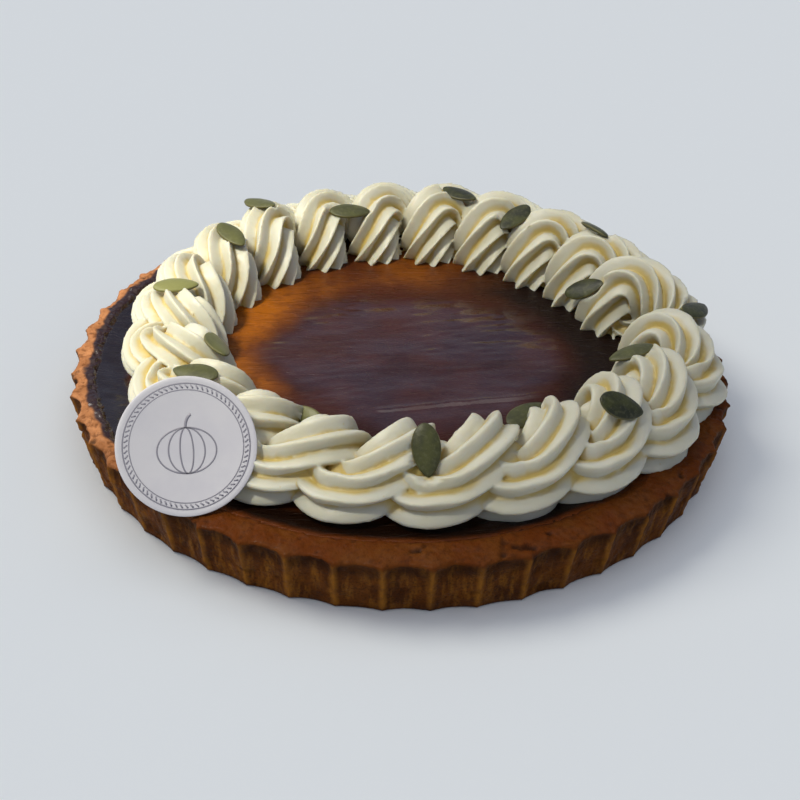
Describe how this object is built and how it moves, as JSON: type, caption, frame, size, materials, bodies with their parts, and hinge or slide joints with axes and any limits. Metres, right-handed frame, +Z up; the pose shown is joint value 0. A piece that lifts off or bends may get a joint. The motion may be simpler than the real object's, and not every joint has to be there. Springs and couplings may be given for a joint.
{
  "type": "pumpkin tart",
  "caption": "Round pumpkin tart in a fluted pastry crust, with a piped cream border, pumpkin seeds and a round tag on the rim.",
  "frame": {"origin": "centre of the crust's underside, on the surface the tart stands on", "axes": "+Z up through the filling, -Y towards the viewer, +X to the viewer's right; the tag stands on the rim towards -X, -Y"},
  "size_m": [0.227, 0.227, 0.0545],
  "materials": {
    "crust": "baked, matt to satin",
    "filling": "glazed, glossy",
    "cream": "smooth, satin",
    "seed": "dry, satin",
    "tag": "smooth, satin"
  },
  "bodies": {
    "root": {"crust": "crust", "filling": "filling", "cream_border": "cream", "seed_01": "seed", "seed_02": "seed", "seed_03": "seed", "seed_04": "seed", "seed_05": "seed", "seed_06": "seed", "seed_07": "seed", "seed_08": "seed", "seed_09": "seed", "seed_10": "seed", "seed_11": "seed", "seed_12": "seed", "seed_13": "seed", "seed_14": "seed", "seed_15": "seed", "seed_16": "seed", "tag": "tag"}
  },
  "joints": []
}
